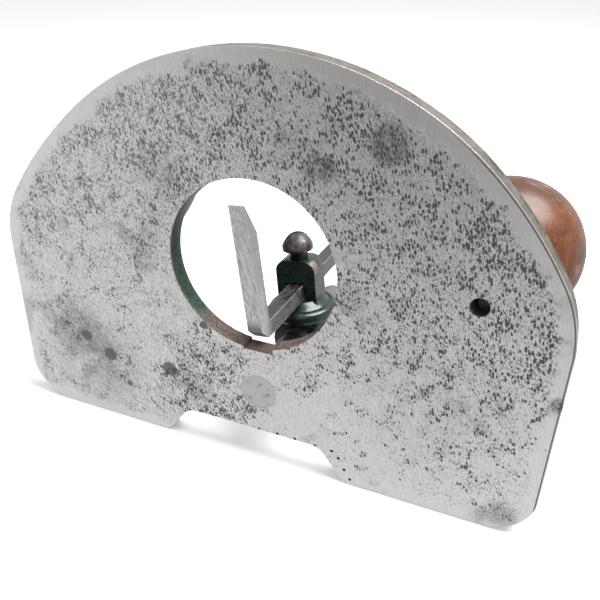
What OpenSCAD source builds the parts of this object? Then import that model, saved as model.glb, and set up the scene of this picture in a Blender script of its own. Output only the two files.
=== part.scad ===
// Hand router plane of the old closed-throat kind.
// A flat D-shaped iron sole with a round throat carries two turned wooden knobs.
// A steel pillar stands behind the throat. A cast clamp head slides on it and
// holds an L-shaped cutter, whose foot reaches forward across the throat.
//
// Millimetres. The sole lies on Z = 0 and everything stands up from it.
// The user faces the arched side, along +Y, with the notched straight edge near.

/* [Base plate] */
// Overall width across the parallel sides
plate_w = 192.6; // [180:0.1:215]
// Overall depth from the straight edge to the crown of the arch
plate_d = 138.4; // [134:0.1:150]
// Thickness of the plate
plate_t = 6.35; // [5:0.05:9]
// Radius of the arch over its crown
crown_r = 99.5; // [96:0.5:102]
// Half of the angle over which the crown radius runs
crown_half_angle = 40; // [36:0.5:42]
// Radius of the arch down its two flanks
flank_r = 140; // [134:1:150]
// Radius where each flank turns into the straight side
shoulder_r = 38; // [28:1:42]
// Radius of the two corners beside the straight edge
corner_r = 15.5; // [8:0.5:18]

/* [Throat] */
// Diameter of the round throat
throat_d = 57.2; // [54:0.1:60]
// Distance of the throat's centre from the straight edge
throat_from_edge = 73.6; // [70:0.1:77]
// Width of the shallow relief filed in the throat for the cutter
relief_w = 12; // [8:0.5:16]
// Depth of that relief
relief_depth = 0.8; // [0.4:0.1:1.2]

/* [Edge notch] */
// Width of the notch at the straight edge
notch_mouth_w = 69; // [60:1:80]
// Width of the notch at its inner end, before the corners are rounded
notch_inner_w = 51; // [40:1:58]
// Depth of the notch
notch_depth = 12; // [8:0.5:14]
// Radius of the notch's inner corners
notch_inner_r = 7; // [3:0.5:9]
// Radius of the notch's mouth corners
notch_mouth_r = 3; // [1:0.5:5]

/* [Pillar] */
// Diameter of the steel pillar
pillar_d = 12.7; // [11:0.1:14]
// Height of the pillar's top above the sole
pillar_top = 76; // [70:1:90]
// Sideways place of the pillar's axis
pillar_x = -2.75; // [-4:0.25:4]
// Distance of the pillar's axis behind the throat's centre
pillar_back = 45.5; // [45:0.1:48]
// Diameter of the boss that stiffens the pillar's foot
boss_d = 23; // [20:0.5:26]
// Height of that boss above the plate
boss_h = 4; // [2:0.25:6]
// Radius of the fillet between boss and plate
boss_fillet = 2.5; // [1:0.25:4]
// Break of the edge at the pillar's top
pillar_bevel = 0.8; // [0.3:0.1:1.5]

/* [Clamp head] */
// Angle by which the head stands swung on the pillar
head_swing = 6.3; // [-10:0.1:10]
// Height of the head's middle plane above the sole
head_z = 42; // [38:0.5:46]
// Distance from the pillar's axis to the middle of the cutter's shank
reach = 20.5; // [20:0.1:23]
// Outer diameter of the hub round the pillar
hub_d = 21; // [19:0.5:24]
// Height of the hub along the pillar
hub_h = 15; // [13:0.5:18]
// Radius on the hub's two rims
hub_rim_r = 1.5; // [0.5:0.1:2]
// Diameter of the round shoulder between hub and eye
shoulder_d = 26; // [22:0.5:30]
// Thickness of the round shoulder
shoulder_t = 5; // [3:0.25:6]
// Radius on the shoulder's rim
shoulder_rim_r = 2; // [1:0.25:2.4]
// Distance of the shoulder's front below the window's floor
shoulder_drop = 3; // [2:0.25:4]
// Length of the cone that leads from the shoulder into the eye
shoulder_cone_l = 3.5; // [2:0.25:4]
// Outer width of the eye
eye_w = 15.4; // [14.5:0.1:19]
// Thickness of the eye along the pillar's direction
eye_t = 9.4; // [8:0.1:12]
// Height of solid metal above the eye's window, which takes the screw's thread
eye_crown_t = 8.6; // [6:0.2:10]
// Radius of the eye's two upper outer corners
eye_corner_r = 4.5; // [2:0.25:6]
// Free height of the window above the shank
window_spare = 0.8; // [0.6:0.1:3]
// Play of the cutter's shank in the window, on each side
window_play = 1.3; // [0.3:0.1:2]
// Running play between sliding or turning pieces, on the radius
run_play = 0.05; // [0.02:0.01:0.1]

/* [Cutter] */
// Side of the square shank
shank_s = 5.6; // [5:0.1:6.2]
// Height of the shank's upper end above the sole
shank_top = 82; // [76:1:95]
// Radius on the edges of the shank's upper end
shank_end_r = 0.8; // [0.3:0.1:1.5]
// Thickness of the foot
foot_t = 5.6; // [4:0.1:6.5]
// Distance from the shank's middle to the cutting edge
foot_reach = 45.3; // [42:0.1:47]
// Height of the cutting edge above the sole
edge_z = 0.2; // [0.1:0.1:2]
// Relief angle under the foot
relief_angle = 3.4; // [2:0.1:5]
// Length of the sharpening bevel
bevel_l = 10.5; // [7:0.5:13]
// Land left at the cutting edge
edge_land = 0.15; // [0.1:0.05:0.4]
// Size of the flat that cuts off the heel's corner
heel_flat = 3.8; // [2:0.1:4.6]
// Radius inside the bend
bend_r = 1.6; // [0.5:0.1:3]

/* [Screws] */
// Diameter of the clamp and lock screws
screw_d = 6.6; // [5.5:0.1:7]
// Diameter of their heads
screw_head_d = 11.4; // [10:0.1:13]
// Height of their heads
screw_head_h = 7.1; // [6.2:0.1:8]
// Height of the cone under each head
screw_under_h = 1.6; // [1:0.1:2]
// Break of each head's lower rim
screw_rim = 0.8; // [0.4:0.1:1]
// Height of each head's dome
screw_dome_h = 3.2; // [2.6:0.1:3.6]
// Width of the screwdriver slot
slot_w = 1.5; // [1:0.1:2]
// Depth of the screwdriver slot
slot_depth = 2; // [1:0.1:2.6]
// Bare neck showing between the eye and the clamp screw's head
clamp_neck = 2.6; // [2:0.2:6]
// Bare neck showing between the lock boss and the lock screw's head
lock_neck = 3; // [2:0.25:6]
// Length of the threaded boss for the lock screw behind the hub
lock_boss_l = 4; // [2:0.25:6]
// Diameter of that boss
lock_boss_d = 12; // [10:0.5:13]

/* [Knobs] */
// Distance of each knob's axis from the side of the plate
knob_inset = 25.1; // [22:0.1:30]
// Distance of the knob axes in front of the throat's centre
knob_forward = 2.75; // [0:0.25:6]
// Diameter of the ball
knob_d = 48; // [44:0.2:52]
// Height of the ball's middle above the sole
knob_z = 43.5; // [40:0.5:47]
// Diameter of the turned foot
knob_foot_d = 27; // [24:0.5:30]
// Thickness of the turned foot
knob_foot_t = 3.2; // [2:0.1:4]
// Diameter of the waist between foot and ball
knob_waist_d = 20; // [17:0.5:22]
// Height of the raised pad under each knob
pad_h = 2.4; // [1:0.1:4]
// Diameter of that pad
pad_d = 31; // [29:0.5:34]
// Diameter of the studs that hold the knobs
stud_d = 5.2; // [4.6:0.1:6]
// How far the stud of the left knob stops short of the sole
left_stud_short = 3.5; // [0:0.1:4]
// Play of the stud in the knob, on the radius
stud_play = 0.4; // [0.2:0.1:0.8]
// Diameter of the round nut's head
nut_head_d = 13; // [11:0.5:16]
// Height of the round nut's head
nut_head_h = 3; // [2:0.1:4]
// Diameter of the round nut's barrel
nut_barrel_d = 8; // [7.4:0.1:9]
// Length of the round nut's barrel
nut_barrel_l = 9; // [6:0.5:14]
// Depth of the nut's face below the knob's top
nut_sink = 0.6; // [0.2:0.1:1.5]
// Depth of the slot across the round nut
nut_slot_depth = 1.2; // [0.8:0.1:1.8]
// How far the stud's end lies below the nut's face
stud_sink = 0.8; // [0.4:0.1:2]

/* [Hidden] */
$fn = 96;
cut = 1;                 // how far a cutting solid runs past a face
arc_over = 1.001;        // corner arcs are this much larger, so that they meet the edges cleanly
crown_over = 0.015;      // the crown arc is cut this much higher, for the same reason

throat_y = throat_from_edge - plate_d / 2;
edge_y = -plate_d / 2;
pillar_y = throat_y - pillar_back;
knob_x = plate_w / 2 - knob_inset;
knob_y = throat_y + knob_forward;
pad_top = plate_t + pad_h;

// Places along the head's own axis, from the pillar's axis towards the cutter.
window_w = shank_s + 2 * window_play;
window_floor = reach - shank_s / 2 - run_play;
window_top = reach + shank_s / 2 + window_spare;
eye_top = window_top + eye_crown_t;
shoulder_front = window_floor - shoulder_drop;
clamp_head_seat = eye_top + clamp_neck;
lock_seat = hub_d / 2 + lock_boss_l + lock_neck;

knob_r = knob_d / 2;
knob_top = knob_z + knob_r;
nut_top = knob_top - nut_sink;
stud_top = nut_top - stud_sink;

function unit(v) = v / norm(v);
function flip(p) = [-p[0], p[1]];
function cross2(a, b) = a[0] * b[1] - a[1] * b[0];

// What lies between the sharp corner p and an arc over it that runs from one
// point to the other. It reaches past the outline's own edges on both sides.
module corner_waste(from, p, to, centre, r) {
    chord = to - from;
    difference() {
        polygon([from - chord / 2, p + (p - (from + to) / 2) / 2, to + chord / 2]);
        translate(centre) circle(r);
    }
}

// Where an arc of radius r between two straight edges starts and ends, and its centre.
function arc_ends(before, p, after, r) =
    let (a = unit(before - p), b = unit(after - p), t = r / tan(acos(a * b) / 2))
    [p + t * a, p + t * b];
function arc_centre(before, p, after, r) =
    let (a = unit(before - p), b = unit(after - p))
    p + unit(a + b) * r / sin(acos(a * b) / 2);

// Outline given by its corners, anticlockwise, each with its own rounding radius.
module rounded_outline(points, radii) {
    n = len(points);
    function before(i) = points[(i + n - 1) % n];
    function after(i) = points[(i + 1) % n];
    function hollow(i) = cross2(points[i] - before(i), after(i) - points[i]) < 0;
    function ends(i) = arc_ends(before(i), points[i], after(i), radii[i]);
    function centre(i) = arc_centre(before(i), points[i], after(i), radii[i]);
    difference() {
        polygon([for (i = [0:n - 1]) each radii[i] > 0 && hollow(i) ? ends(i) : [points[i]]]);
        for (i = [0:n - 1]) if (radii[i] > 0) {
            if (hollow(i)) translate(centre(i)) circle(radii[i] * arc_over);
            else corner_waste(ends(i)[0], points[i], ends(i)[1], centre(i), radii[i] * arc_over);
        }
    }
}

// The whole sole: an arch of one crown arc, two flank arcs and two small shoulder
// arcs, over parallel sides, with a notch in the middle of the straight edge.
module plate_outline() {
    half = plate_w / 2;
    crown_c = [0, plate_d / 2 - crown_r];
    to_flank = [sin(crown_half_angle), cos(crown_half_angle)];
    flank_c = crown_c - (flank_r - crown_r) * to_flank;
    crown_end = crown_c + crown_r * to_flank;
    flank_peak = [0, flank_c[1] + sqrt(pow(flank_r, 2) - pow(flank_c[0], 2))];
    flank_foot = [half, flank_c[1] + sqrt(pow(flank_r, 2) - pow(half - flank_c[0], 2))];
    turn_x = half - shoulder_r;
    turn_c = [turn_x, flank_c[1] + sqrt(pow(flank_r - shoulder_r, 2) - pow(turn_x - flank_c[0], 2))];
    flank_end = flank_c + flank_r * unit(turn_c - flank_c);
    right = [[notch_inner_w / 2, edge_y + notch_depth], [notch_mouth_w / 2, edge_y], [half, edge_y],
             [half, flank_peak[1] + 1]];
    right_radii = [notch_inner_r, notch_mouth_r, corner_r, 0];
    difference() {
        intersection() {
            rounded_outline(concat(right, [for (i = [3:-1:0]) flip(right[i])]),
                            concat(right_radii, [for (i = [3:-1:0]) right_radii[i]]));
            translate(flank_c) circle(flank_r, $fn = 180);
            translate(flip(flank_c)) circle(flank_r, $fn = 180);
        }
        corner_waste(crown_end, flank_peak, flip(crown_end), crown_c, crown_r + crown_over, $fn = 180);
        for (side = [0, 1]) mirror([side, 0])
            corner_waste([half, turn_c[1]], flank_foot, flank_end, turn_c, shoulder_r * arc_over);
    }
}

// Boss round the pillar's foot, with a hollow flare that runs down into the plate.
module pillar_boss() {
    dip = boss_fillet / 8;
    rotate_extrude() difference() {
        square([boss_d / 2 + boss_fillet, plate_t + boss_h]);
        translate([boss_d / 2, plate_t + boss_fillet - dip]) square([boss_fillet + cut, boss_h]);
        translate([boss_d / 2 + boss_fillet, plate_t + boss_fillet - dip]) circle(boss_fillet);
    }
}

module at_knobs() {
    for (side = [-1, 1]) translate([side * knob_x, knob_y, 0]) children();
}

module base() {
    color("#7d837c") difference() {
        union() {
            linear_extrude(plate_t) plate_outline();
            translate([pillar_x, pillar_y, 0]) pillar_boss();
            at_knobs() cylinder(d = pad_d, h = pad_top);
        }
        translate([0, throat_y, -cut]) cylinder(d = throat_d, h = plate_t + 2 * cut, $fn = 128);
        translate([-relief_w / 2, throat_y - throat_d / 2 - relief_depth, -cut])
            cube([relief_w, throat_d / 4, plate_t + 2 * cut]);
        translate([pillar_x, pillar_y, -cut]) cylinder(d = pillar_d, h = plate_t + boss_h + 2 * cut);
        at_knobs() translate([0, 0, -cut]) cylinder(d = stud_d, h = pad_top + 2 * cut);
    }
}

module pillar() {
    color("#b9bcbe") translate([pillar_x, pillar_y, 0]) rotate_extrude()
        polygon([[0, 0], [pillar_d / 2, 0], [pillar_d / 2, pillar_top - pillar_bevel],
                 [pillar_d / 2 - pillar_bevel, pillar_top], [0, pillar_top]]);
}

// Puts its children in the head's own frame: X across, Y towards the cutter,
// Z up, with the origin on the pillar's axis at the head's middle height.
module in_head() {
    translate([pillar_x, pillar_y, head_z]) rotate(-head_swing) children();
}

// Turns a solid built along Z so that it lies along the head's Y.
module along_head(y) {
    translate([0, y, 0]) rotate([-90, 0, 0]) children();
}

// Round bar with a rounded rim at both ends, built along Z.
module rounded_disc(r, h, rim) {
    rotate_extrude() {
        square([r - rim, h]);
        translate([0, rim]) square([r, h - 2 * rim]);
        for (z = [rim, h - rim]) translate([r - rim, z]) circle(rim);
    }
}

module eye_outline() {
    half = eye_w / 2;
    rounded_outline([[half, shoulder_front - 1], [half, eye_top], [-half, eye_top], [-half, shoulder_front - 1]],
                    [0, eye_corner_r, eye_corner_r, 0]);
}

module window_outline() {
    half = window_w / 2;
    rounded_outline([[half, window_floor], [half, window_top], [-half, window_top], [-half, window_floor]],
                    [0, window_play, window_play, 0]);
}

module clamp_head() {
    bore_d = pillar_d + 2 * run_play;
    thread_d = screw_d + 2 * run_play;
    color("#1f4a38") in_head() difference() {
        union() {
            translate([0, 0, -hub_h / 2]) rounded_disc(hub_d / 2, hub_h, hub_rim_r);
            along_head(0) cylinder(d = hub_h, h = shoulder_front - 1);
            along_head(shoulder_front - shoulder_t) rounded_disc(shoulder_d / 2, shoulder_t, shoulder_rim_r);
            along_head(shoulder_front - 1) cylinder(d1 = shoulder_d - 2 * shoulder_rim_r, d2 = eye_w, h = shoulder_cone_l);
            translate([0, 0, -eye_t / 2]) linear_extrude(eye_t) eye_outline();
            along_head(-hub_d / 2 - lock_boss_l) cylinder(d = lock_boss_d, h = lock_boss_l + hub_d / 4);
        }
        translate([0, 0, -hub_h]) cylinder(d = bore_d, h = 2 * hub_h);
        translate([0, 0, -shoulder_d]) linear_extrude(2 * shoulder_d) window_outline();
        along_head(window_top - cut) cylinder(d = thread_d, h = eye_crown_t + 2 * cut);
        along_head(-hub_d / 2 - lock_boss_l - cut) cylinder(d = thread_d, h = hub_d / 2 + lock_boss_l);
    }
}

// Slotted screw built along Z with the underside of its domed head at Z = 0.
module slotted_screw(shank_l) {
    head_r = screw_head_d / 2;
    dome_z = screw_head_h - screw_dome_h;
    cap_r = dome_cap_r(head_r, screw_dome_h);
    difference() {
        rotate_extrude() {
            translate([0, -shank_l]) square([screw_d / 2, shank_l + screw_under_h]);
            polygon([[0, 0], [screw_d / 2, 0], [head_r - screw_rim, screw_under_h],
                     [head_r, screw_under_h + screw_rim], [head_r, dome_z], [0, dome_z]]);
            intersection() {
                translate([0, dome_z]) square([head_r, screw_dome_h]);
                translate([0, screw_head_h - cap_r]) circle(cap_r);
            }
        }
        translate([-screw_head_d, -slot_w / 2, screw_head_h - slot_depth])
            cube([2 * screw_head_d, slot_w, slot_depth + cut]);
    }
}

// Radius of the cap that stands h high over a rim of radius r.
function dome_cap_r(r, h) = (r * r + h * h) / (2 * h);

module clamp_screw() {
    tip = reach + shank_s / 2 + run_play;
    color("#6b6663") in_head() along_head(clamp_head_seat)
        rotate(35) slotted_screw(clamp_head_seat - tip);
}

module lock_screw() {
    tip = pillar_d / 2 + run_play;
    color("#6b6663") in_head() rotate(180) along_head(lock_seat)
        rotate(20) slotted_screw(lock_seat - tip);
}

// Side view of the cutter: first number forward, second number up.
module cutter_outline() {
    back = -shank_s / 2;
    front = shank_s / 2;
    slope = tan(relief_angle);
    under = function (y) edge_z + (foot_reach - y) * slope;
    over = function (y) under(y) + foot_t;
    heel = back + heel_flat;
    bevel = foot_reach - bevel_l;
    rounded_outline(
        [[heel, under(heel)], [foot_reach, edge_z], [foot_reach, edge_z + edge_land], [bevel, over(bevel)],
         [front, over(front)], [front, shank_top], [back, shank_top], [back, under(back) + heel_flat]],
        [0, 0, 0, 0, bend_r, shank_end_r, shank_end_r, 0]);
}

module cutter() {
    color("#a9aaa8") translate([pillar_x, pillar_y, 0]) rotate(-head_swing)
        translate([-shank_s / 2, reach, 0]) rotate([90, 0, 90]) linear_extrude(shank_s) cutter_outline();
}

// Half section of the turned knob: foot, waist and ball.
module knob_section() {
    neck_z = knob_z - sqrt(pow(knob_r, 2) - pow(knob_waist_d / 2, 2));
    rim = knob_foot_t / 2;
    intersection() {
        translate([0, knob_z]) circle(knob_r);
        translate([0, knob_z - knob_r]) square([knob_r, 2 * knob_r]);
    }
    translate([0, pad_top]) square([knob_foot_d / 2 - rim, knob_foot_t]);
    translate([knob_foot_d / 2 - rim, pad_top + rim]) circle(rim);
    translate([0, pad_top]) square([knob_waist_d / 2, neck_z - pad_top]);
}

module knob(x) {
    color("#8a4a22") translate([x, knob_y, 0]) difference() {
        rotate_extrude($fn = 128) knob_section();
        translate([0, 0, pad_top - cut]) cylinder(r = stud_d / 2 + stud_play, h = knob_top);
        translate([0, 0, nut_top - nut_head_h - nut_barrel_l]) cylinder(d = nut_barrel_d, h = knob_d);
        translate([0, 0, nut_top - nut_head_h]) cylinder(d = nut_head_d, h = knob_d);
    }
}

module stud(x, foot_z) {
    color("#9a9894") translate([x, knob_y, foot_z]) cylinder(d = stud_d, h = stud_top - foot_z);
}

module round_nut(x) {
    color("#b08d4a") translate([x, knob_y, nut_top - nut_head_h - nut_barrel_l]) difference() {
        union() {
            cylinder(d = nut_barrel_d, h = nut_barrel_l + cut);
            translate([0, 0, nut_barrel_l]) cylinder(d = nut_head_d, h = nut_head_h);
        }
        translate([0, 0, -cut]) cylinder(d = stud_d, h = nut_barrel_l + nut_head_h + 2 * cut);
        translate([-nut_head_d, -slot_w / 2, nut_barrel_l + nut_head_h - nut_slot_depth])
            cube([2 * nut_head_d, slot_w, nut_slot_depth + cut]);
    }
}

module knob_left() { knob(-knob_x); }
module knob_right() { knob(knob_x); }
module stud_left() { stud(-knob_x, left_stud_short); }
module stud_right() { stud(knob_x, 0); }
module nut_left() { round_nut(-knob_x); }
module nut_right() { round_nut(knob_x); }

base();
pillar();
clamp_head();
clamp_screw();
lock_screw();
cutter();
knob_left();
knob_right();
stud_left();
stud_right();
nut_left();
nut_right();
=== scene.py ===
import math
import bmesh
import bpy
from mathutils import Matrix, Vector


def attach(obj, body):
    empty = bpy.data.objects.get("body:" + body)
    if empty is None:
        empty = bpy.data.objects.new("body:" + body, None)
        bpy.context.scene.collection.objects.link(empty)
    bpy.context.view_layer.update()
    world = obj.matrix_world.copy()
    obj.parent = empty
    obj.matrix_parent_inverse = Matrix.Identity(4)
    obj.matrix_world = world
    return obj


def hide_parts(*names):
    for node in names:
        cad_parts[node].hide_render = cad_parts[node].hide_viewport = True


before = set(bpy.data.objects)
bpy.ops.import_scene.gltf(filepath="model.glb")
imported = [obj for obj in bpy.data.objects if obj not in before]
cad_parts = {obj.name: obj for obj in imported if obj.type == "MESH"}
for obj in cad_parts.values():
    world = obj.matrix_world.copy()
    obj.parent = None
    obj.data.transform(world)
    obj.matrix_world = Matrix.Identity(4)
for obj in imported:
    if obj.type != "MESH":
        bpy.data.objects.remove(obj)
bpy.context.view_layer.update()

scene = bpy.context.scene
scene.view_settings.view_transform = "Standard"
mm = 0.001  # every size below is written in millimetres and used in metres


# arithmetic on shader sockets

class Wire:  # one socket of a node tree: arithmetic on it adds Math nodes
    def __init__(self, tree, socket=None):
        self.tree = tree
        self.socket = socket

    def node(self, kind, settings=None, values=None, out=0):
        made = self.tree.nodes.new(kind)
        for name, value in (settings or {}).items():
            setattr(made, name, value)
        for name, value in (values or {}).items():
            if isinstance(value, Wire):
                self.tree.links.new(value.socket, made.inputs[name])
            else:
                made.inputs[name].default_value = value
        return Wire(self.tree, made.outputs[out] if len(made.outputs) else None)

    def both(self, operation, first, second):
        return self.node("ShaderNodeMath", {"operation": operation}, {0: first, 1: second})

    def __add__(self, other):
        return self.both("ADD", self, other)

    def __radd__(self, other):
        return self.both("ADD", other, self)

    def __sub__(self, other):
        return self.both("SUBTRACT", self, other)

    def __rsub__(self, other):
        return self.both("SUBTRACT", other, self)

    def __mul__(self, other):
        return self.both("MULTIPLY", self, other)

    def __rmul__(self, other):
        return self.both("MULTIPLY", other, self)

    def __pow__(self, other):
        return self.both("POWER", self, other)


def step(value, low, high, start=0.0, end=1.0):  # a soft step; high may lie under low
    return value.node("ShaderNodeMapRange", {"interpolation_type": "SMOOTHSTEP"},
                      {"Value": value, "From Min": low, "From Max": high, "To Min": start, "To Max": end})


def least(first, second):
    return first.both("MINIMUM", first, second)


def most(first, second):
    return first.both("MAXIMUM", first, second)


def mixed(amount, plain, other):  # two colours
    return amount.node("ShaderNodeMix", {"data_type": "RGBA"}, {0: amount, 6: plain, 7: other}, out=2)


def shade(red, green, blue):
    return (red, green, blue, 1.0)


def axes(place):
    parts = place.node("ShaderNodeSeparateXYZ", {}, {0: place})
    return [Wire(place.tree, parts.socket.node.outputs[i]) for i in range(3)]


def placeInMm(tree):
    start = Wire(tree)
    place = start.node("ShaderNodeTexCoord", out=3)
    return place.node("ShaderNodeVectorMath", {"operation": "SCALE"}, {0: place, "Scale": 1 / mm})


def cloudy(place, size, turn=0.0, detail=2.0, rough=0.5, shift=0.0):
    # noise whose lumps have the given size in millimetres, turned in the plane of the sole
    laid = place.node("ShaderNodeMapping", {"vector_type": "TEXTURE"},
                      {"Vector": place, "Location": (shift, 0.7 * shift, 1.3 * shift),
                       "Rotation": (0, 0, math.radians(turn)), "Scale": size})
    return laid.node("ShaderNodeTexNoise", {},
                     {"Vector": laid, "Scale": 1.0, "Detail": detail, "Roughness": rough})


def nearTo(place, centre, radius, soft):  # 1 inside a circle seen along Z, 0 outside
    x, y, z = axes(place)
    away = ((x - centre[0]) * (x - centre[0]) + (y - centre[1]) * (y - centre[1])) ** 0.5
    return step(away, radius, radius + soft, 1.0, 0.0)


def bumped(height, distance, strength=1.0):
    return height.node("ShaderNodeBump", {},
                       {"Height": height, "Distance": distance * mm, "Strength": strength})


def edges(tree, radius, low, high):  # 1 on convex and concave edges
    start = Wire(tree)
    rounded = start.node("ShaderNodeBevel", {"samples": 6}, {"Radius": radius * mm})
    plain = start.node("ShaderNodeNewGeometry", out=1)
    closeness = plain.node("ShaderNodeVectorMath", {"operation": "DOT_PRODUCT"},
                           {0: rounded, 1: plain}, out=1)
    return step(closeness, high, low)


def surface(name, slot):
    made = bpy.data.materials.new(name)
    made.use_nodes = True
    made["slot"] = slot
    tree = made.node_tree
    tree.nodes.clear()
    return made, tree


def finished(tree, values):  # the one shader of a material, and its output
    start = Wire(tree)
    body = start.node("ShaderNodeBsdfPrincipled", {}, values)
    start.node("ShaderNodeOutputMaterial", {}, {"Surface": body})


# camera, floor and light

cameraSetup = {
    "place": (-0.08348, 0.0921, -0.16511),
    "towards": (0.32984, -0.46945, 0.81904),
    "upright": (0.0, 0.998, -0.064),
    "lens": 39.66,
}


def makeCamera(s):
    camera = bpy.data.objects.new("camera", bpy.data.cameras.new("camera"))
    scene.collection.objects.link(camera)
    place, back = Vector(s["place"]), -Vector(s["towards"]).normalized()
    right = Vector(s["upright"]).cross(back).normalized()
    up = back.cross(right)
    camera.matrix_world = Matrix.Translation(place) @ Matrix((right, up, back)).transposed().to_4x4()
    camera.data.lens = s["lens"]
    camera.data.sensor_width = 36.0
    camera.data.clip_start = 0.005
    scene.camera = camera


floorSetup = {
    "through": (0.0, -0.0692, 0.0063),  # the tool stands on the upper rim of its back edge
    "size": 3.0,
    "glow": 0.27,
    "shadowTint": shade(0.80, 0.79, 0.775),
}


def makeFloor(s, upright):
    normal = Vector(upright).normalized()
    along = Vector((1, 0, 0))
    across = normal.cross(along)
    centre, half = Vector(s["through"]), s["size"] / 2
    signs = ((-1, 1), (1, 1), (1, -1), (-1, -1))
    corners = [centre + along * a * half + across * b * half for a, b in signs]
    mesh = bpy.data.meshes.new("floor")
    mesh.from_pydata(corners, [], [(0, 1, 2, 3)])
    if mesh.polygons[0].normal.dot(normal) < 0:
        mesh.flip_normals()
    floor = bpy.data.objects.new("floor", mesh)
    scene.collection.objects.link(floor)
    made = bpy.data.materials.new("paleFloor")
    made.use_nodes = True
    tree = made.node_tree
    tree.nodes.clear()
    start = Wire(tree)
    matt = start.node("ShaderNodeBsdfDiffuse", {}, {"Color": s["shadowTint"]})
    glow = start.node("ShaderNodeEmission", {}, {"Color": shade(1, 1, 1), "Strength": s["glow"]})
    lit = start.node("ShaderNodeAddShader", {}, {0: matt, 1: glow})
    clear = start.node("ShaderNodeBsdfTransparent")
    eye = start.node("ShaderNodeLightPath", out=0)
    shiny = Wire(tree, eye.socket.node.outputs["Is Glossy Ray"])
    under = start.node("ShaderNodeNewGeometry", out=6)
    seen = eye.node("ShaderNodeMixShader", {}, {0: eye, 1: matt, 2: lit})
    gone = most(under, shiny)  # clear from below and to mirror rays
    surfaceShader = gone.node("ShaderNodeMixShader", {}, {0: gone, 1: seen, 2: clear})
    start.node("ShaderNodeOutputMaterial", {}, {"Surface": surfaceShader})
    mesh.materials.append(made)


studioSetup = {
    "level": 0.95,
    "darkLevel": 0.01,
    "darkTowards": (0.15, -0.05, -0.987),  # the unlit side of the room, which the sole faces
    "darkInside": 11.0,  # degrees off that side
    "darkOutside": 33.0,
}


def makeStudio(s):
    world = bpy.data.worlds.new("studio")
    scene.world = world
    world.use_nodes = True
    tree = world.node_tree
    tree.nodes.clear()
    start = Wire(tree)
    way = start.node("ShaderNodeTexCoord", out=0)
    facing = way.node("ShaderNodeVectorMath", {"operation": "DOT_PRODUCT"},
                      {0: way, 1: s["darkTowards"]}, out=1)
    inner, outer = (math.cos(math.radians(s[name])) for name in ("darkInside", "darkOutside"))
    level = step(facing, inner, outer, s["darkLevel"], s["level"])
    eye = start.node("ShaderNodeLightPath", out=0)
    strength = eye + (1 - eye) * level
    background = start.node("ShaderNodeBackground", {}, {"Strength": strength})
    start.node("ShaderNodeOutputWorld", {}, {"Surface": background})


lampSetup = {
    "softboxAbove": {"towards": (-0.38, 0.90, 0.12), "away": 0.60, "size": 0.52, "power": 8.0},
}


def makeLamps(settings):
    middle = Vector((0.0, 0.0, 0.02))
    for name, s in settings.items():
        lamp = bpy.data.objects.new(name, bpy.data.lights.new(name, "AREA"))
        scene.collection.objects.link(lamp)
        lamp.data.shape = "DISK"
        lamp.data.size = s["size"]
        lamp.data.energy = s["power"]
        way = Vector(s["towards"]).normalized()
        lamp.location = middle + way * s["away"]
        lamp.rotation_mode = "QUATERNION"
        lamp.rotation_quaternion = (-way).to_track_quat("-Z", "Y")


makeCamera(cameraSetup)
makeFloor(floorSetup, cameraSetup["upright"])
makeStudio(studioSetup)
makeLamps(lampSetup)
print("camera, floor and light are in place")


# materials

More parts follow.
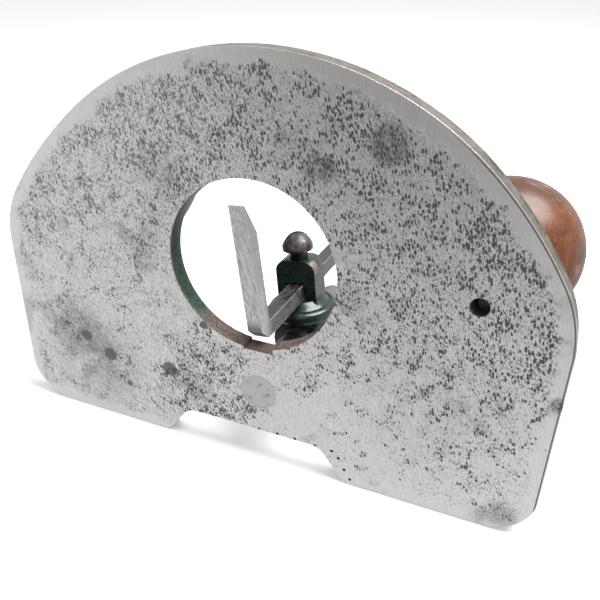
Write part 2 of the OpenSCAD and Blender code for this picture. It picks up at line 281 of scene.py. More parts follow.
soleLook = {
    "steel": shade(0.93, 0.93, 0.925),
    "steelDull": shade(0.50, 0.495, 0.49),
    "pit": shade(0.060, 0.052, 0.050),
    "pitPale": shade(0.15, 0.145, 0.14),
    "stain": shade(0.26, 0.205, 0.165),
    "scorch": shade(0.13, 0.105, 0.092),
    "smudge": shade(0.30, 0.29, 0.28),
    # the rim colour is painted shade on the rim's bevel
    "rim": shade(0.070, 0.055, 0.048),
    "spot": shade(0.16, 0.155, 0.16),
    "grain": -13.0,  # the grinding marks lean a little off the plate's depth
    "pitSize": (0.85, 1.7, 1.0),
    "fineSize": (0.50, 0.95, 1.0),
    "crown": {"centre": (0.0, -30.3), "radius": 99.5, "half": 40.0},  # the outline's arcs
    "flank": {"centre": (26.0, -61.3), "radius": 140.0},
    "shoulder": {"centre": (58.3, -3.9), "radius": 38.0, "start": 34.2},
    "side": 96.3,
    "lean": 2.37,  # the real crown isn't symmetric: it leans towards the left-hand knob
    "leanOver": 55.0,
    # where the painted rim shade runs, at the image's right
    "rimShade": (-48.0, -66.0),
    "backEdge": -69.2,
    "margin": 4.3,  # a band along the rim has no pits
    "crowdSlope": 0.45,
    "crowd": (-55.0, 60.0),
    "lowerMiddle": {"centre": (14.0, -43.0), "radius": 9.0, "soft": 20.0},
    "leftSide": (-25.0, 30.0),
    "paler": (10.0, 75.0),
    "pillar": {"centre": (-2.75, -41.1), "radius": 6.2},
    "studEnd": {"centre": (71.2, 7.15), "radius": 2.6},
    "stains": [
        {"at": (-40.7, 48.0), "radius": 2.5, "soft": 5.0, "depth": 1.0, "tint": "scorch"},
        {"at": (-21.8, 38.8), "radius": 1.5, "soft": 5.0, "depth": 1.0, "tint": "scorch"},
        {"at": (-95.0, -18.1), "radius": 1.0, "soft": 2.5, "depth": 1.0, "tint": "scorch"},
        {"at": (-86.5, -62.6), "radius": 1.5, "soft": 5.5, "depth": 0.75, "tint": "scorch"},
        {"at": (-80.0, -66.0), "radius": 1.0, "soft": 4.0, "depth": 0.60, "tint": "smudge"},
        {"at": (73.0, -34.0), "radius": 4.0, "soft": 13.0, "depth": 0.68, "tint": "smudge"},
        {"at": (63.0, -40.5), "radius": 3.0, "soft": 9.0, "depth": 0.85, "tint": "smudge"},
        {"at": (64.0, -47.0), "radius": 6.0, "soft": 22.0, "depth": 0.50, "tint": "smudge"},
        {"at": (37.2, 7.2), "radius": 2.0, "soft": 6.0, "depth": 0.50, "tint": "smudge"},
        {"at": (39.2, -0.7), "radius": 1.5, "soft": 5.0, "depth": 0.55, "tint": "smudge"},
        {"at": (22.3, -45.7), "radius": 2.0, "soft": 8.0, "depth": 0.60, "tint": "smudge"},
        {"at": (30.2, 30.0), "radius": 3.0, "soft": 10.0, "depth": 0.45, "tint": "smudge"},
        {"at": (-60.0, -30.0), "radius": 5.0, "soft": 30.0, "depth": 0.22, "tint": "smudge"},
    ],
    "scratch": {"from": 30.0, "to": 5.0, "at": -41.0, "slope": 0.03, "width": 0.22},
    "spots": [
        {"at": (67.9, -36.6), "radius": 2.0},
        {"at": (57.9, -42.3), "radius": 2.4},
        {"at": (32.3, -41.7), "radius": 2.6},
        {"at": (17.4, -19.8), "radius": 1.2},
        {"at": (50.7, -53.2), "radius": 0.9},
    ],
    # pits crowd together at these places on the side that has few
    "clusters": [
        {"at": (82.0, 4.0), "radius": 5.0, "share": 0.75},
        {"at": (84.0, 14.0), "radius": 3.0, "share": 0.65},
        {"at": (74.0, -32.0), "radius": 6.0, "share": 0.65},
        {"at": (38.0, 3.0), "radius": 4.0, "share": 0.55},
        {"at": (70.0, 20.0), "radius": 12.0, "share": 0.50},
        {"at": (28.0, -50.0), "radius": 7.0, "share": 0.75},
    ],
}


def speckled(place, size, turn, amount, shift):
    # one dot in each cell of a loose net of cells; amount is the share of cells that show theirs
    laid = place.node("ShaderNodeMapping", {"vector_type": "TEXTURE"},
                      {"Vector": place, "Location": (shift, 0.6 * shift, 0.0),
                       "Rotation": (0, 0, math.radians(turn)), "Scale": size})
    wavy = laid.node("ShaderNodeTexNoise", {},
                     {"Vector": laid, "Scale": 2.2, "Detail": 3.0, "Roughness": 0.65})
    cells = laid.node("ShaderNodeTexVoronoi", {"voronoi_dimensions": "2D"}, {"Vector": laid, "Scale": 1.0})
    chance = axes(Wire(place.tree, cells.socket.node.outputs["Color"]))[0]
    reach = step(chance + amount, 1.0, 1.45, 0.0, 0.44)  # the dot's radius, as a share of its cell
    return step(cells + (wavy - 0.5) * 0.95 - reach, 0.04, -0.04) * step(reach, 0.03, 0.10)


def soleSteel(s):
    made, tree = surface("groundSole", "iron_plate")
    place = placeInMm(tree)
    x, y, z = axes(place)
    grain = s["grain"]
    brush = cloudy(place, (0.30, 7.0, 1.0), grain, 3.0, 0.6)
    fineBrush = cloudy(place, (0.20, 1.6, 1.0), grain + 3, 2.0, 0.6, 31.0)
    strokes = cloudy(place, (0.34, 1.15, 1.0), grain - 6, 3.0, 0.65, 52.0)
    broad = cloudy(place, (34.0, 26.0, 20.0), 20, 2.0, 0.5, 5.0)
    patches = cloudy(place, (6.5, 6.0, 5.0), -20, 3.0, 0.6, 17.0)
    bands = cloudy(place, (15.0, 11.0, 9.0), 35, 2.0, 0.5, 44.0)
    # how far in from the rim, whose crown leans to one side
    c, f, h = s["crown"], s["flank"], s["shoulder"]
    straight = x + step(y, 0.0, s["leanOver"]) * s["lean"]
    wide = x.both("ABSOLUTE", straight, 0.0)
    fromCrown = c["radius"] - (wide * wide + (y - c["centre"][1]) * (y - c["centre"][1])) ** 0.5
    fromFlank = f["radius"] - ((wide + f["centre"][0]) * (wide + f["centre"][0])
                               + (y - f["centre"][1]) * (y - f["centre"][1])) ** 0.5
    over, up = most(wide - h["centre"][0], 0.0 * x), most(y - h["centre"][1], 0.0 * x)
    fromShoulder = h["radius"] - (over * over + up * up) ** 0.5
    turn, tilt = math.radians(s["crown"]["half"]), math.radians(h["start"])
    pastCrown = wide * math.cos(turn) - (y - c["centre"][1]) * math.sin(turn)
    pastFlank = (wide - h["centre"][0]) * math.sin(tilt) - (y - h["centre"][1]) * math.cos(tilt)
    byFlank, byShoulder = step(pastCrown, -0.3, 0.3), step(pastFlank, -0.3, 0.3)
    fromArc = fromCrown * (1 - byFlank) + fromFlank * byFlank
    inward = least(fromArc * (1 - byShoulder) + fromShoulder * byShoulder, y - s["backEdge"])
    inside = step(inward + (patches - 0.5) * 10, s["margin"] - 1.4, s["margin"] + 1.2)
    rod, stud = s["pillar"], s["studEnd"]
    disc = nearTo(place, rod["centre"], rod["radius"], 0.5)
    discRim = nearTo(place, rod["centre"], rod["radius"] + 0.35, 0.25)
    end = nearTo(place, stud["centre"], stud["radius"], 0.2)
    endRim = nearTo(place, stud["centre"], stud["radius"] + 0.25, 0.2)
    bare = (1 - discRim) * (1 - endRim)
    # many pits over the front of the sole and at the image's right, few at its left
    crowd = step(y - s["crowdSlope"] * x, *s["crowd"])
    low = s["lowerMiddle"]
    lowerMiddle = nearTo(place, low["centre"], low["radius"], low["soft"])
    thread = step((bands - 0.5) * (bands - 0.5), 0.0016, 0.0)  # thin winding bands that hold more pits
    quantity = most(crowd, lowerMiddle * 0.80)
    stroke = step(strokes, 0.46, 0.61)
    for cluster in s["clusters"]:
        near = nearTo(place, cluster["at"], cluster["radius"], 6.0)
        quantity = most(quantity, near * cluster["share"])
    amount = quantity * 0.59 + (patches - 0.5) * 1.8 + thread * 0.30 + 0.02
    deep = speckled(place, s["pitSize"], grain, amount, 3.0)
    leftSide = step(x, *s["leftSide"])  # at the image's left the pits are slight and lie close
    slight = speckled(place, s["fineSize"], grain - 5, amount + 0.12 + 0.14 * leftSide, 40.0)
    pits = most(deep, slight * 0.75) * inside * bare
    paler = step(x + 0.5 * y, *s["paler"])
    crowded = crowd * (1 - leftSide)
    strokeShare = 0.34 + 0.34 * leftSide + 0.20 * crowded
    dull = (step(brush, 0.35, 0.70) * 0.22 + step(fineBrush, 0.40, 0.66) * 0.15
            + stroke * bare * (0.15 + 0.85 * inside) * strokeShare + 0.16 * crowded)
    metal = mixed(dull, s["steel"], s["steelDull"])
    smudged = step(broad + (patches - 0.5) * 0.7, 0.56, 0.72)
    metal = mixed(smudged * 0.30, metal, s["smudge"])
    for spot in s["stains"]:
        mark = nearTo(place, spot["at"], spot["radius"], spot["soft"])
        mark = mark * step(patches, 0.22, 0.52) * (0.55 + 0.65 * stroke)
        metal = mixed(mark * spot["depth"], metal, s[spot["tint"]])
    for spot in s["spots"]:
        metal = mixed(nearTo(place, spot["at"], spot["radius"], 0.6) * 0.9, metal, s["spot"])
    t = s["scratch"]
    across = y - t["at"] - t["slope"] * x
    mark = step(across * across, t["width"] ** 2, 0.0)
    mark = mark * step(x, t["from"], t["from"] - 2) * step(x, t["to"], t["to"] + 6)
    metal = mixed(mark * 0.75, metal, s["spot"])
    rims = (discRim - disc) * 0.45 + (endRim - end) * 0.22
    metal = mixed(rims, metal, s["stain"])
    # painted shade: a dark line just inside the rim, along the crown and flank at the image's right, where
    # the rim's bevel is seen dark
    rimShade = step(inward, 0.85, 0.72) * step(inward, 0.25, 0.45)
    rimShade = rimShade * step(x, *s["rimShade"])
    rimShade = rimShade * step(y, s["backEdge"] + 2, s["backEdge"] + 12)
    metal = mixed(rimShade * 0.95, metal, s["rim"])
    colour = mixed(pits, metal, mixed(paler, s["pit"], s["pitPale"]))
    height = (1 - pits) * 0.6 + brush * 0.12 + fineBrush * 0.10
    finished(tree, {
        "Base Color": colour,
        "Metallic": 0.80 - 0.7 * most(pits, rimShade),
        "Roughness": 0.36 + 0.35 * pits + 0.12 * (brush - 0.5),
        "Normal": bumped(height, 0.06),
    })
    return made


ironLook = {
    "iron": shade(0.165, 0.148, 0.13),
    "ironDark": shade(0.095, 0.076, 0.062),
    "paint": shade(0.034, 0.074, 0.050),
    "paintDark": shade(0.012, 0.024, 0.018),
    "rust": shade(0.165, 0.115, 0.084),
    "rustDark": shade(0.045, 0.033, 0.026),
    # painted shade inside the stud hole
    "olive": shade(0.068, 0.056, 0.042),
    "hole": {"centre": (-71.2, 7.15), "radius": 3.6},
    "relief": {"centre": (-2.7, -25.5), "radius": 6.0},
    "throat": {"centre": (0.0, 4.4), "radius": 29.5},
    "rustyFrom": -15.0,  # towards the back the throat's wall is rusty
    "rustyTo": -20.0,
    "paintFrom": (2.0, 5.6),  # flecks of paint on the plate's side, and the green top
    "topFrom": (6.1, 6.3),
    "wallPaintFrom": (0.5, 0.9),
    "rustBelow": (6.6, 6.2),
    "flecksBelow": (3.5, 0.5),
    "darkPaint": (2.0, 22.0),
}


def wornIron(s):
    made, tree = surface("wornPaint", "green_paint")
    place = placeInMm(tree)
    x, y, z = axes(place)
    large = cloudy(place, (9.0, 9.0, 7.0), 15, 4.0, 0.62)
    small = cloudy(place, (1.1, 1.1, 1.1), 0, 3.0, 0.6, 9.0)
    grit = cloudy(place, (0.3, 0.3, 0.3), 0, 2.0, 0.6, 4.0)
    worn = edges(tree, 0.9, 0.90, 0.985)
    # the side is bare but for flecks along its far edge, and the top is green all over
    towardsTop = step(z, *s["paintFrom"], -0.30, 0.05) + step(z, *s["topFrom"], 0.0, 0.31)
    inThroat = nearTo(place, s["throat"]["centre"], s["throat"]["radius"], 1.5)
    wavy = y + 10 * (large - 0.5)
    wall = inThroat * step(wavy, s["rustyTo"], s["rustyFrom"])  # paint runs down over the throat's wall
    painted = step(large + towardsTop + (small - 0.5) * 0.45, 0.50, 0.58) * (1 - worn * 0.85)
    wallPaint = wall * step(z + 1.2 * (small - 0.5), *s["wallPaintFrom"])
    painted = most(painted * (1 - inThroat), wallPaint)
    iron = mixed(step(small + large, 0.75, 1.25), s["iron"], s["ironDark"])
    rusty = inThroat * step(wavy, s["rustyFrom"], s["rustyTo"]) * step(z, *s["rustBelow"])
    flecks = inThroat * step(small + 0.4 * large, 0.80, 0.85) * step(z, *s["flecksBelow"])
    rusty = most(rusty, flecks)
    inRelief = nearTo(place, s["relief"]["centre"], s["relief"]["radius"], 1.0)
    mottled = most(step(small + 0.3 * (grit - 0.5), 0.44, 0.54) * 0.8, inRelief * 0.75)
    iron = mixed(rusty * 0.9, iron, mixed(mottled, s["rust"], s["rustDark"]))
    # painted shade: the stud hole's wall is dark olive, as shade inside the hole
    iron = mixed(nearTo(place, s["hole"]["centre"], s["hole"]["radius"], 0.4), iron, s["olive"])
    paint = mixed(step(large + small, 0.8, 1.25), s["paint"], s["paintDark"])
    darkWall = inThroat * step(y, *s["darkPaint"]) * step(large, 0.35, 0.5)
    paint = mixed(darkWall * 0.85, paint, s["paintDark"])
    colour = mixed(painted * (1 - rusty * 0.9), iron, paint)
    finished(tree, {
        "Base Color": colour,
        "Metallic": 0.35 * (1 - painted) * (1 - rusty),
        "Roughness": 0.50 - 0.12 * painted + 0.15 * (small - 0.5),
        "Specular IOR Level": 0.3,
        "Normal": bumped(painted * 0.5 + small * 0.35 + grit * 0.15, 0.12),
    })
    return made


headLook = {
    "paint": shade(0.008, 0.015, 0.012),
    "paintPale": shade(0.020, 0.060, 0.038),
    "bare": shade(0.30, 0.255, 0.225),
    "brown": shade(0.16, 0.10, 0.075),
    "rubbed": {"centre": (-7.2, -10.0), "radius": 1.6},
    "eyeFront": 37.5,
    "rubbedEnd": 41.5,
}


def headPaint(s):
    made, tree = surface("chippedGreen", "green_paint")
    place = placeInMm(tree)
    large = cloudy(place, (5.0, 5.0, 5.0), 0, 4.0, 0.6, 2.0)
    small = cloudy(place, (0.9, 0.9, 0.9), 0, 3.0, 0.6, 6.0)
    worn = edges(tree, 0.8, 0.86, 0.97)
    x, y, z = axes(place)
    # one rubbed patch on the eye's shoulder
    rubbed = nearTo(place, s["rubbed"]["centre"], s["rubbed"]["radius"], 2.0)
    rubbed = rubbed * step(z, s["eyeFront"], s["eyeFront"] + 0.4)
    rubbed = rubbed * step(z, s["rubbedEnd"] + 1.5, s["rubbedEnd"] - 1.0)
    chipped = step(large + (small - 0.5) * 0.5, 0.70, 0.74)
    wornEdge = worn * step(large + small, 0.95, 1.15) * 0.6
    bare = most(most(chipped, wornEdge), step(small + large + rubbed, 1.45, 1.65))
    paint = mixed(step(large, 0.35, 0.65) * 0.4, s["paint"], s["paintPale"])
    metal = mixed(step(small, 0.4, 0.7), s["bare"], s["brown"])
    finished(tree, {
        "Base Color": mixed(bare, paint, metal),
        "Metallic": 0.7 * bare,
        "Roughness": 0.27 + 0.15 * bare + 0.2 * (small - 0.5),
        "Coat Weight": 0.35,
        "Coat Roughness": 0.16,
        "Normal": bumped((1 - bare) * 0.6 + small * 0.2 + large * 0.4, 0.14),
    })
    return made


cutterLook = {
    "steel": shade(0.72, 0.71, 0.70),
    # a painted highlight on the worn edges
    "wornEdgeAndHighlight": shade(0.98, 0.98, 0.97),
    # streaks and marks, and painted shade on the foot's side
    "streakAndShade": shade(0.16, 0.145, 0.135),
    # the shank's two faces: a painted shaded brown and a painted lit brown
    "brown": shade(0.036, 0.029, 0.026),
    "shankLitBrown": shade(0.125, 0.115, 0.108),
    "lean": 0.1105,  # the foot's axis leans off the y axis by this much
    "sideStart": -3.59,  # the foot's side, at this place along it
    "sideAt": -23.5,
    "heel": (-15.0, -18.6),
    "heelTop": (7.4, 6.8),
    "shank": (5.0, 11.0),
}


def cutterSteel(s):
    made, tree = surface("scratchedSteel", "steel")
    place = placeInMm(tree)
    scratch = cloudy(place, (0.20, 4.0, 5.0), -20, 3.0, 0.6)
    along = cloudy(place, (0.5, 6.0, 9.0), 0, 3.0, 0.6, 8.0)
    spots = cloudy(place, (1.6, 4.5, 4.5), -12, 4.0, 0.65, 5.0)
    worn = edges(tree, 0.45, 0.93, 0.99)
    x, y, z = axes(place)
    fromSide = x - s["lean"] * (y - s["sideAt"]) - s["sideStart"]
    # the -x side face: painted shade on the foot and painted light on the shank
    side = step(fromSide, 0.45, 0.15)
    dark = step(spots + step(y, 0.0, -22.0) * 0.12, 0.54, 0.70)
    heel = step(y + 2 * (spots - 0.5), *s["heel"])
    heel = heel * step(z, *s["heelTop"]) * step(fromSide, 0.2, 0.5)
    marks = step(scratch, 0.48, 0.58) * 0.58
    streakedAndShaded = most(most(dark * 0.6, marks), most(heel * 0.9, side * 0.52))
    colour = mixed(streakedAndShaded, s["steel"], s["streakAndShade"])
    upTheShank = step(z + 5 * (spots - 0.5), *s["shank"])
    # painted shade on the shank's +y face and painted light on its -x face
    shank = mixed(side * (0.6 + 0.4 * step(spots, 0.6, 0.4)), s["brown"], s["shankLitBrown"])
    colour = mixed(most(upTheShank * 0.92, step(along, 0.55, 0.75) * 0.3), colour, shank)
    # the edges are worn and also get a painted highlight, near white
    colour = mixed(worn * (0.85 - 0.35 * upTheShank), colour, s["wornEdgeAndHighlight"])
    finished(tree, {
        "Base Color": colour,
        "Metallic": 0.80 - 0.5 * dark,
        "Roughness": 0.30 + 0.20 * dark + 0.2 * (along - 0.5),
        "Normal": bumped(scratch * 0.4 + along * 0.3 - dark * 0.3, 0.04),
    })
    return made


rodLook = {
    "steel": shade(0.62, 0.61, 0.60),
    "brown": shade(0.20, 0.15, 0.12),
    # painted shade, for the pillar below the clamp head
    "shadeBlack": shade(0.012, 0.013, 0.012),
    "olive": shade(0.075, 0.062, 0.048),
    "holeAbove": (5.5, 5.0),  # painted shade: the stud's end, dark up its open hole
    "holeBeyond": (-60.0, -61.0),
    "shadedFrom": (1.0, 5.0),  # painted shade: the pillar is nearly black below the clamp head
    "shadedTo": (36.0, 30.0),
    "topFrom": (56.0, 62.0),  # and its top is olive-brown
    "topBehind": (-30.0, -32.0),
}


def rodSteel(s):
    made, tree = surface("turnedSteel", "steel")
    place = placeInMm(tree)
    rings = cloudy(place, (6.0, 6.0, 0.35), 0, 2.0, 0.6)
    spots = cloudy(place, (2.5, 2.5, 2.5), 0, 4.0, 0.6, 7.0)
    dark = step(spots, 0.50, 0.70)
    x, y, z = axes(place)
    # painted shade: the stud's end is dark olive up its hole, and the pillar nearly black below the clamp
    # head; the pillar's top is olive-brown
    inHole = step(z, *s["holeAbove"]) * step(x, *s["holeBeyond"])
    shadedBelowHead = step(z, *s["shadedFrom"]) * step(z, *s["shadedTo"])
    holeShadeAndOliveTop = most(inHole, step(z, *s["topFrom"]) * step(y, *s["topBehind"]) * 0.75)
    dull = most(dark, most(shadedBelowHead, holeShadeAndOliveTop))
    colour = mixed(shadedBelowHead, mixed(dark * 0.7, s["steel"], s["brown"]), s["shadeBlack"])
    finished(tree, {
        "Base Color": mixed(holeShadeAndOliveTop, colour, s["olive"]),
        "Metallic": 0.80 - 0.4 * dull,
        "Roughness": 0.33 + 0.22 * dark + 0.12 * (rings - 0.5),
        "Normal": bumped(rings * 0.5 - dark * 0.3, 0.03),
    })
    return made


screwLook = {
    "steel": shade(0.20, 0.165, 0.165),
    "brown": shade(0.035, 0.022, 0.020),
    "paint": shade(0.010, 0.030, 0.021),
    # painted shade, for the neck under the head
    "shadeBlack": shade(0.008, 0.007, 0.007),
    "neck": -4.9,
}


def screwSteel(s):
    made, tree = surface("brownedSteel", "dark_steel")
    place = placeInMm(tree)
    spots = cloudy(place, (3.0, 3.0, 3.0), 0, 4.0, 0.6, 11.0)
    small = cloudy(place, (0.6, 0.6, 0.6), 0, 3.0, 0.6, 12.0)
    paint = cloudy(place, (4.0, 4.0, 4.0), 0, 3.0, 0.6, 15.0)
    dark = step(spots, 0.42, 0.62)
    painted = step(paint, 0.52, 0.59)
    colour = mixed(dark, s["steel"], s["brown"])
    x, y, z = axes(place)
    # painted shade: the screw's neck under its head is black
    colour = mixed(step(y, s["neck"] + 0.4, s["neck"] - 0.4), colour, s["shadeBlack"])
    finished(tree, {
        "Base Color": mixed(painted * 0.9, colour, s["paint"]),
        "Metallic": (0.85 - 0.5 * dark) * (1 - painted),
        "Roughness": 0.32 + 0.2 * dark + 0.2 * (small - 0.5),
        "Normal": bumped(small * 0.4 + painted * 0.5, 0.06),
    })
    return made


woodLook = {
    "middle": shade(0.115, 0.032, 0.006),
    "dark": shade(0.038, 0.010, 0.004),
    "pale": shade(0.25, 0.078, 0.013),
    "blotch": shade(0.035, 0.013, 0.008),
    # grey for the painted reflection and for rubbed patches
    "rubAndReflectionGrey": shade(0.30, 0.215, 0.185),
    "low": (4.0, -8.0),  # painted reflection: the knob is greyed towards the plate's back
    "top": (24.0, 30.0),  # the knob is darker towards the front
    "blotches": [
        {"at": (-94.5, 12.0), "radius": 1.5, "tint": "blotch"},
        {"at": (-95.0, 4.0), "radius": 2.0, "tint": "blotch"},
        {"at": (-88.0, 18.8), "radius": 0.2, "tint": "green"},
    ],
    "green": shade(0.02, 0.09, 0.06),
}


def knobWood(s):
    made, tree = surface("turnedWood", "turned_wood")
    place = placeInMm(tree)
    x, y, z = axes(place)
    waves = (cloudy(place, (9.0, 9.0, 30.0), 0, 2.0, 0.5, 3.0) - 0.5) * 2
    sway = place.node("ShaderNodeCombineXYZ", {}, {0: waves, 2: waves})
    bent = place.node("ShaderNodeVectorMath", {"operation": "ADD"}, {0: place, 1: sway})
    growth = cloudy(bent, (2.4, 60.0, 4.0), 6, 2.0, 0.55)
    fibre = cloudy(bent, (0.8, 40.0, 1.2), 6, 1.0, 0.5, 5.0)
    pores = cloudy(bent, (0.45, 6.0, 0.6), 6, 2.0, 0.6, 14.0)
    blot = cloudy(place, (8.0, 8.0, 6.0), 0, 4.0, 0.6, 21.0)
    rubbed = cloudy(place, (11.0, 11.0, 5.0), 0, 3.0, 0.55, 26.0)
    colour = mixed(step(growth, 0.40, 0.70) * 0.55, s["middle"], s["dark"])
    colour = mixed(step(fibre, 0.42, 0.72) * 0.38, colour, s["pale"])
    colour = mixed(step(pores, 0.66, 0.74) * 0.6, colour, s["blotch"])
    colour = mixed(step(blot, 0.60, 0.70) * 0.75, colour, s["blotch"])
    colour = mixed(step(y, *s["top"]) * 0.6, colour, s["dark"])
    # painted reflection: grey towards the plate's back, with grey rubbed patches from handling
    rubbedAndReflection = most(step(rubbed, 0.58, 0.74) * 0.4, step(y, *s["low"]) * 0.7)
    colour = mixed(rubbedAndReflection, colour, s["rubAndReflectionGrey"])
    for blotch in s["blotches"]:
        mark = nearTo(place, blotch["at"], blotch["radius"], 0.25 + blotch["radius"] * 0.6)
        colour = mixed(mark * 0.8, colour, s[blotch["tint"]])
    finished(tree, {
        "Base Color": colour,
        "Roughness": 0.36 + 0.25 * step(blot, 0.55, 0.7) + 0.12 * (fibre - 0.5),
        "Normal": bumped(fibre * 0.3 + growth * 0.3 - step(pores, 0.66, 0.74) * 0.5, 0.05),
        "Specular IOR Level": 0.2,
        "Coat Weight": 0.5,
        "Coat Roughness": 0.32,
    })
    return made


brassLook = {"brass": shade(0.62, 0.44, 0.19), "brown": shade(0.19, 0.12, 0.055)}


def nutBrass(s):
    made, tree = surface("dullBrass", "brass")
    place = placeInMm(tree)
    spots = cloudy(place, (2.0, 2.0, 2.0), 0, 4.0, 0.6, 5.0)
    small = cloudy(place, (0.35, 0.35, 0.35), 0, 2.0, 0.6, 2.0)
    dark = step(spots, 0.42, 0.66)
    finished(tree, {
        "Base Color": mixed(dark * 0.8, s["brass"], s["brown"]),
        "Metallic": 0.9 - 0.5 * dark,
        "Roughness": 0.34 + 0.24 * dark,
        "Normal": bumped(small * 0.5 - dark * 0.3, 0.03),
    })
    return made


punchLook = {"hollow": shade(0.018, 0.013, 0.011), "pale": shade(0.05, 0.035, 0.028)}


def punchDark(s):
    made, tree = surface("punchHollow", "iron_plate")
    place = placeInMm(tree)
    small = cloudy(place, (0.3, 0.3, 0.3), 0, 2.0, 0.6, 2.0)
    finished(tree, {"Base Color": mixed(small, s["hollow"], s["pale"]), "Roughness": 0.8})
    return made


looks = {
    "sole": soleSteel(soleLook),
    "iron": wornIron(ironLook),
    "head": headPaint(headLook),
    "cutter": cutterSteel(cutterLook),
    "rod": rodSteel(rodLook),
    "screw": screwSteel(screwLook),
    "wood": knobWood(woodLook),
    "brass": nutBrass(brassLook),
    "punch": punchDark(punchLook),
}
print("materials are made")


# pieces

def joined(node):  # a node's loose triangles as one clean shell
    shell = bmesh.new()
    shell.from_mesh(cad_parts[node].data)
    bmesh.ops.remove_doubles(shell, verts=shell.verts, dist=0.002 * mm)
    bmesh.ops.dissolve_limit(shell, angle_limit=math.radians(0.4), verts=shell.verts, edges=shell.edges)
    for layer in list(shell.loops.layers.float_vector.keys()):
        shell.loops.layers.float_vector.remove(shell.loops.layers.float_vector[layer])
    return shell


def sharpEdges(shell, angle):
    return [e for e in shell.edges if len(e.link_faces) == 2 and e.calc_face_angle(0) > math.radians(angle)]


def softened(shell, edgeList, width, steps=2):
    if edgeList:
        bmesh.ops.bevel(shell, geom=edgeList, offset=width * mm, offset_type="OFFSET", segments=steps,
                        profile=0.5, affect="EDGES", clamp_overlap=True, material=-1)


def smoothed(shell, angle=32.0, flatOver=60.0):
    # large flat faces stay flat and everything else is smooth up to the given angle
    for face in shell.faces:
        face.smooth = face.calc_area() < flatOver * mm * mm
    for edge in shell.edges:
        edge.smooth = len(edge.link_faces) == 2 and edge.calc_face_angle(0) <= math.radians(angle)


def asPiece(shell, name, body, nodes, materials):
    mesh = bpy.data.meshes.new(name)
    shell.to_mesh(mesh)
    shell.free()
    if "custom_normal" in mesh.attributes:
        mesh.attributes.remove(mesh.attributes["custom_normal"])
    for material in materials:
        mesh.materials.append(material)
    piece = bpy.data.objects.new(name, mesh)
    scene.collection.objects.link(piece)
    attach(piece, body)
    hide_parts(*nodes)
    return piece


plateSetup = {
    "rimWidth": 0.65,
    "edgeWidth": 0.35,
    "rimAngle": 50.0,
    "rimReach": 1.0,
    "rimFrom": -20.0,  # the wider bevel goes round the outer rim from here to the front
    "rimOutside": 45.0,
    "soleBand": 1.0,
    "studs": {"at": (71.2, 7.15), "reach": 4.0},
    "throat": {"centre": 4.4, "radius": 28.6},
    # the open stud hole's mouth lies nearer the throat than its knob's axis
    "hole": {"axis": (-71.2, 7.15), "reach": 4.0, "shift": 1.45, "share": 1.10, "mouth": 1.5},
    # the relief in the throat is narrower than the drawn one and off the middle
    "relief": {"half": 6.0, "reach": 14.0, "shift": -2.7, "share": 0.88, "behind": -18.0, "depth": 2.2,
               "top": 6.4},
}

punchSetup = {
    "width": 1.15,
    "depth": 0.5,
    # each mark's place to the image's right and up from the throat's centre
    "row": [(-25.0, -61.9), (-20.7, -61.1), (-14.1, -61.4), (-3.9, -61.5), (3.0, -61.3), (9.9, -61.1),
            (16.5, -61.1), (23.9, -61.5), (30.0, -61.7), (32.5, -64.0), (34.8, -68.2), (37.1, -71.7)],
    "throatCentre": 4.4,
}


def makePunches(s, material):
    # a small cone at each mark, tip up in the plate
    mesh = bpy.data.meshes.new("punchPlaces")
    places = [(-across * mm, (up + s["throatCentre"]) * mm, 0.0) for across, up in s["row"]]
    mesh.from_pydata(places, [], [])
    marks = bpy.data.objects.new("punchMarks", mesh)
    scene.collection.objects.link(marks)
    tree = bpy.data.node_groups.new("punchRow", "GeometryNodeTree")
    tree.interface.new_socket("Geometry", in_out="INPUT", socket_type="NodeSocketGeometry")
    tree.interface.new_socket("Width", in_out="INPUT", socket_type="NodeSocketFloat")
    tree.interface.new_socket("Depth", in_out="INPUT", socket_type="NodeSocketFloat")
    tree.interface.new_socket("Geometry", in_out="OUTPUT", socket_type="NodeSocketGeometry")
    start = Wire(tree)
    given = start.node("NodeGroupInput")
    width, depth = (Wire(tree, given.socket.node.outputs[name]) for name in ("Width", "Depth"))
    cone = start.node("GeometryNodeMeshCone", {}, {
        "Vertices": 14, "Radius Top": 0.0, "Radius Bottom": width * 0.6, "Depth": depth * 1.2})
    sunk = start.node("ShaderNodeCombineXYZ", {}, {2: depth * -0.2})
    moved = start.node("GeometryNodeTransform", {}, {"Geometry": cone, "Translation": sunk})
    spread = start.node("GeometryNodeInstanceOnPoints", {}, {"Points": given, "Instance": moved})
    plain = start.node("GeometryNodeRealizeInstances", {}, {"Geometry": spread})
    dark = start.node("GeometryNodeSetMaterial", {}, {"Geometry": plain, "Material": material})
    start.node("NodeGroupOutput", {}, {0: dark})
    modifier = marks.modifiers.new("punchRow", "NODES")
    modifier.node_group = tree
    for item in tree.interface.items_tree:
        if item.in_out == "INPUT" and item.name in ("Width", "Depth"):
            modifier[item.identifier] = s[item.name.lower()] * mm
    view = bpy.context.evaluated_depsgraph_get()
    cut = bpy.data.meshes.new_from_object(marks.evaluated_get(view))
    bpy.data.objects.remove(marks)
    return cut


def smoothRise(value, low, high):
    share = min(max((value - low) / (high - low), 0.0), 1.0)
    return share * share * (3 - 2 * share)


def shapeRim(shell, s):
    # only points within a millimetre of the outer rim move: every hole keeps its place
    c, f = soleLook["crown"], soleLook["flank"]
    for vert in shell.verts:
        x, y = vert.co.x / mm, vert.co.y / mm
        fromCrown = c["radius"] - math.hypot(x, y - c["centre"][1])
        fromFlank = f["radius"] - math.hypot(abs(x) + f["centre"][0], y - f["centre"][1])
        if y > 0 and min(fromCrown, fromFlank, soleLook["side"] - abs(x)) < s["rimReach"]:
            vert.co.x -= soleLook["lean"] * smoothRise(y, 0.0, soleLook["leanOver"]) * mm


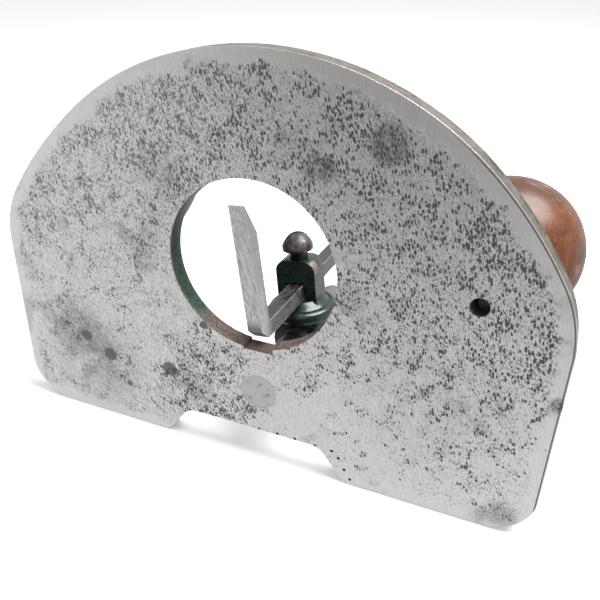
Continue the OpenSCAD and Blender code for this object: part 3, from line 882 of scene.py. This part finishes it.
def shapeRelief(shell, s):
    r, t = s["relief"], s["throat"]
    for vert in shell.verts:
        x, y = vert.co.x / mm, vert.co.y / mm
        away = math.hypot(x, y - t["centre"])
        inWall = t["radius"] - 0.1 < away < t["radius"] + r["depth"] and vert.co.z < r["top"] * mm
        if inWall and y < r["behind"] and abs(x) < r["reach"]:
            hold = 1 - smoothRise(abs(x), r["half"], r["reach"])
            moved = x + hold * (r["shift"] + (r["share"] - 1) * x)
            if away < t["radius"] + 0.1:
                vert.co.y = (t["centre"] - math.sqrt(t["radius"] ** 2 - moved ** 2)) * mm
            vert.co.x = moved * mm


def shapeHole(shell, s):
    h = s["hole"]
    for vert in shell.verts:
        x, y = vert.co.x / mm - h["axis"][0], vert.co.y / mm - h["axis"][1]
        if math.hypot(x, y) < h["reach"] and vert.co.z < h["mouth"] * mm:
            vert.co.x = (h["axis"][0] + h["shift"] + h["share"] * x) * mm
            vert.co.y = (h["axis"][1] + h["share"] * y) * mm


def makePlate(s):
    shell = joined("base")
    shapeRim(shell, s)
    shapeRelief(shell, s)
    shapeHole(shell, s)
    rim = []
    across, along, reach = *s["studs"]["at"], s["studs"]["reach"]
    for edge in sharpEdges(shell, s["rimAngle"]):
        middle = (edge.verts[0].co + edge.verts[1].co) / 2 / mm
        level = max(abs(v.co.z) for v in edge.verts) < 0.02 * mm
        outside = math.hypot(middle.x, middle.y - s["throat"]["centre"]) > s["rimOutside"]
        inHole = abs(abs(middle.x) - across) < reach and abs(middle.y - along) < reach
        if level and outside and middle.y > s["rimFrom"] and not inHole:
            rim.append(edge)
    softened(shell, rim, s["rimWidth"], 3)
    softened(shell, sharpEdges(shell, s["rimAngle"]), s["edgeWidth"], 2)
    shell.normal_update()
    for face in shell.faces:
        low = max(v.co.z for v in face.verts) < s["soleBand"] * mm
        face.material_index = 0 if low and face.normal.z < -0.25 else 1
    smoothed(shell)
    plateLooks = [looks["sole"], looks["iron"], looks["punch"]]
    return asPiece(shell, "plate", "plane", ["base"], plateLooks)


def punch(plate, cut):
    tool = bpy.data.objects.new("punchTool", cut)
    scene.collection.objects.link(tool)
    modifier = plate.modifiers.new("punch", "BOOLEAN")
    modifier.operation = "DIFFERENCE"
    modifier.solver = "EXACT"
    modifier.object = tool
    view = bpy.context.evaluated_depsgraph_get()
    view.update()
    done = bpy.data.meshes.new_from_object(plate.evaluated_get(view))
    plate.modifiers.remove(modifier)
    plate.data = done
    done.name = "plate"
    bpy.data.objects.remove(tool)


plate = makePlate(plateSetup)
punch(plate, makePunches(punchSetup, looks["punch"]))
print("plate is made:", len(plate.data.polygons), "faces")

pieceSetup = {
    "clampHead": {"node": "clamp_head", "body": "clamp_head", "slot": "green_paint", "look": "head",
                  "edge": 0.35, "angle": 40.0},
    "clampScrew": {"node": "clamp_screw", "body": "clamp_screw", "slot": "dark_steel", "look": "screw",
                   "edge": 0.25, "angle": 40.0, "head": {"axis": (1.47, 42.0), "end": 1.08, "way": 1}},
    "lockScrew": {"node": "lock_screw", "body": "lock_screw", "slot": "dark_steel", "look": "screw",
                  "edge": 0.25, "angle": 40.0, "head": {"axis": (-5.015, 42.0), "end": -65.57, "way": -1}},
    "cutterBlade": {"node": "cutter", "body": "cutter", "slot": "steel", "look": "cutter",
                    "edge": 0.28, "angle": 30.0},
    "pillarRod": {"node": "pillar", "body": "plane", "slot": "steel", "look": "rod",
                  "edge": 0.2, "angle": 30.0},
    "knobLeft": {"node": "knob_left", "body": "plane", "slot": "turned_wood", "look": "wood",
                 "edge": 0.3, "angle": 40.0},
    "knobRight": {"node": "knob_right", "body": "plane", "slot": "turned_wood", "look": "wood",
                  "edge": 0.3, "angle": 40.0,
                  # the photo shows nothing of this knob through the throat, so the side facing it is flatter
                  "flat": {"axis": (71.2, 7.15), "way": (-0.86, -0.51), "start": 17.0, "radius": 24.0,
                           "reach": 20.6}},
    "studLeft": {"node": "stud_left", "body": "plane", "slot": "steel", "look": "rod",
                 "edge": 0.2, "angle": 30.0},
    "studRight": {"node": "stud_right", "body": "plane", "slot": "steel", "look": "rod",
                  "edge": 0.15, "angle": 30.0},
    "nutLeft": {"node": "nut_left", "body": "plane", "slot": "brass", "look": "brass",
                "edge": 0.2, "angle": 40.0},
    "nutRight": {"node": "nut_right", "body": "plane", "slot": "brass", "look": "brass",
                 "edge": 0.2, "angle": 40.0},
}

screwHead = {"length": 7.9, "full": 5.65, "back": 1.7}


def shapeHead(shell, s, axis, end, way):
    # the real head is fullest near its neck, so its rings sit up to 1.7 mm nearer to it
    for vert in shell.verts:
        below = way * (end - vert.co.y / mm)
        radius = math.hypot(vert.co.x / mm - axis[0], vert.co.z / mm - axis[1])
        if below < s["length"]:
            vert.co.y -= way * s["back"] * (min(radius, s["full"]) / s["full"]) ** 3 * mm


def shapeKnob(shell, axis, way, start, radius, reach):
    # presses in what lies past start along way, so the knob reaches out to reach and not to radius
    centre = Vector((axis[0] * mm, axis[1] * mm, 0.0))
    outward = Vector((way[0], way[1], 0.0)).normalized()
    for vert in shell.verts:
        out = (vert.co - centre).dot(outward) / mm
        if out > start:
            vert.co -= outward * (out - start) * (radius - reach) / (radius - start) * mm


for name, s in pieceSetup.items():
    shell = joined(s["node"])
    if "head" in s:
        shapeHead(shell, screwHead, **s["head"])
    if "flat" in s:
        shapeKnob(shell, **s["flat"])
    softened(shell, sharpEdges(shell, s["angle"]), s["edge"], 2)
    shell.normal_update()
    smoothed(shell, 35.0)
    asPiece(shell, name, s["body"], [s["node"]], [looks[s["look"]]])
    print(name, "is made")
